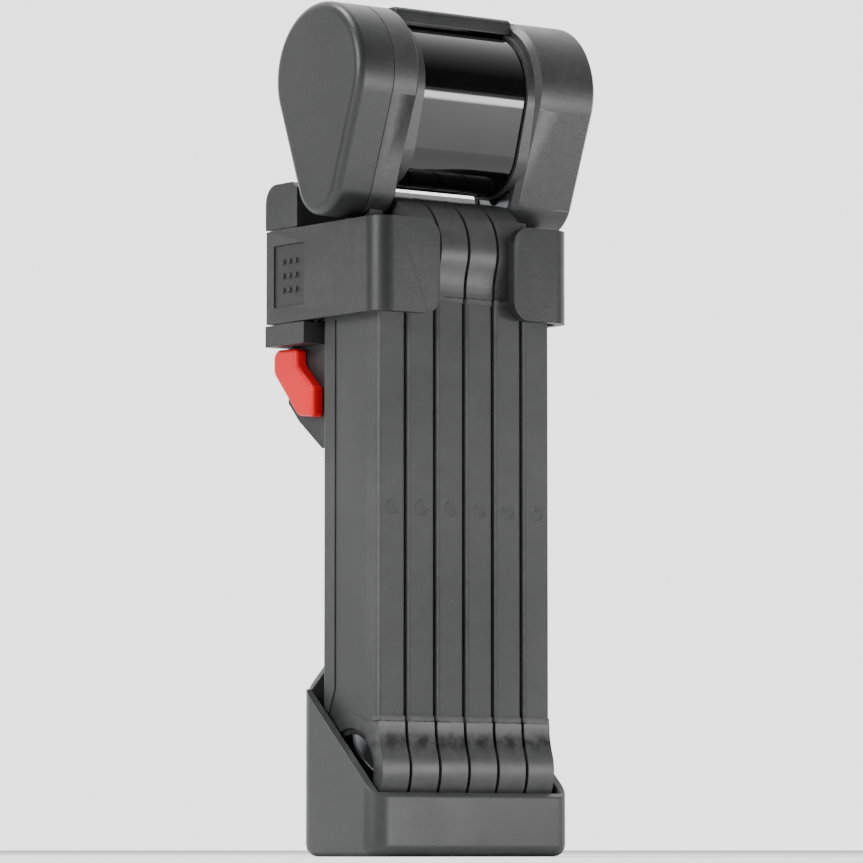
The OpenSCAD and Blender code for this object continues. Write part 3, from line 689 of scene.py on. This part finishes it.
def panel_groove_shade(link, side):
    """Painted groove shade: dark strips beside the smooth panel on the outer face of link 1 or 6, where the
    grooves' shade falls.
    """
    section = ((PANEL_FACE_X - GROOVE_DEPTH, -1), (PANEL_FACE_X, -1),
               (PANEL_FACE_X, 1), (PANEL_FACE_X - GROOVE_DEPTH, 1))
    shape = bmesh.new()
    for flank in (-1, 1):
        path = [(flank * PANEL_FOOT_HALF_W, PANEL_LOW_Z), (flank * PANEL_HALF_W, PANEL_FLARE_Z),
                (flank * PANEL_HALF_W, PANEL_TOP_Z)]
        skin(shape, [
            [shape.verts.new(Vector((side * x, y + edge * GROOVE_W / 2, z)) * MM) for x, edge in section]
            for y, z in path])
    bmesh.ops.recalc_face_normals(shape, faces=shape.faces)
    shade_strip = piece_from(shape, f"panel_groove_shade_{link}", f"panel_groove_shade_{link}_shape")
    dress(shade_strip, GROOVE_SHADE)
    add_to(shade_strip, f"bar_{link}")


for link_number in range(1, 7):
    moulding_mark(link_number)
panel_groove_shade(1, -1)
panel_groove_shade(6, 1)

# ---------------------------------------------------------------- floor, light, camera


def make_floor():
    """A large pale floor under the cup."""
    shape = bmesh.new()
    bmesh.ops.create_grid(shape, x_segments=1, y_segments=1, size=6.0)
    floor = piece_from(shape, "floor", "floor_shape")
    material, _, shader = new_material("pale floor")
    shader.inputs["Base Color"].default_value = (0.9, 0.9, 0.9, 1)
    shader.inputs["Roughness"].default_value = 0.9
    dress(floor, material)


def area_light(name, place, target, size, power):
    """A soft box that faces the target."""
    lamp = bpy.data.lights.new(name, "AREA")
    lamp.shape = "RECTANGLE"
    lamp.size, lamp.size_y = size
    lamp.energy = power
    obj = bpy.data.objects.new(name, lamp)
    obj.location = place
    obj.rotation_euler = (Vector(target) - Vector(place)).to_track_quat("-Z", "Y").to_euler()
    bpy.context.scene.collection.objects.link(obj)


VIEW_AZIMUTH = math.radians(37.0)
CAMERA_PITCH = math.radians(4.72)
CAMERA_DISTANCE = 1.37
CAMERA_HEIGHT = 0.002
CAMERA_SIDESTEP = -0.0014
SENSOR = 36.0
FOCAL = 211.0


def make_camera():
    """A long lens near floor height, turned a little up at the lock."""
    forward = Vector((math.sin(VIEW_AZIMUTH), math.cos(VIEW_AZIMUTH), 0))
    right = Vector((math.cos(VIEW_AZIMUTH), -math.sin(VIEW_AZIMUTH), 0))
    camera = bpy.data.objects.new("camera", bpy.data.cameras.new("camera"))
    camera.data.sensor_width = SENSOR
    camera.data.lens = FOCAL
    camera.data.clip_start = 0.05
    camera.data.clip_end = 50
    place = -CAMERA_DISTANCE * forward + CAMERA_SIDESTEP * right
    place.z = CAMERA_HEIGHT
    camera.location = place
    look = forward * math.cos(CAMERA_PITCH) + Vector((0, 0, math.sin(CAMERA_PITCH)))
    camera.rotation_euler = look.to_track_quat("-Z", "Y").to_euler()
    bpy.context.scene.collection.objects.link(camera)
    bpy.context.scene.camera = camera


def make_world():
    """A white surround, bright behind the lock and dim on the camera's side."""
    world = bpy.data.worlds.new("white studio")
    world.use_nodes = True
    tree = world.node_tree
    shade = tree.nodes["Background"]
    shade.inputs["Color"].default_value = (1, 1, 1, 1)
    way = add_node(tree, "ShaderNodeTexCoord")
    along = add_node(tree, "ShaderNodeVectorMath", {"operation": "DOT_PRODUCT"},
                     {1: (math.sin(VIEW_AZIMUTH), math.cos(VIEW_AZIMUTH), 0.0)})
    level = add_node(tree, "ShaderNodeMapRange",
                     inputs={"From Min": -0.2, "From Max": 0.75, "To Min": 0.07, "To Max": 2.6})
    tree.links.new(way.outputs["Generated"], along.inputs[0])
    tree.links.new(along.outputs["Value"], level.inputs["Value"])
    tree.links.new(level.outputs["Result"], shade.inputs["Strength"])
    bpy.context.scene.world = world


make_floor()
make_world()
area_light("left strip box", place=(-0.95, -0.2, 0.5), target=(0, 0, 0.22), size=(0.35, 0.4), power=11)
area_light("low front box", place=(0.35, -0.7, 0.05), target=(0, 0, 0.03), size=(0.5, 0.12), power=4)
area_light("top box", place=(-0.3, 0.15, 1.1), target=(0, 0, 0.15), size=(0.5, 0.35), power=12)
make_camera()
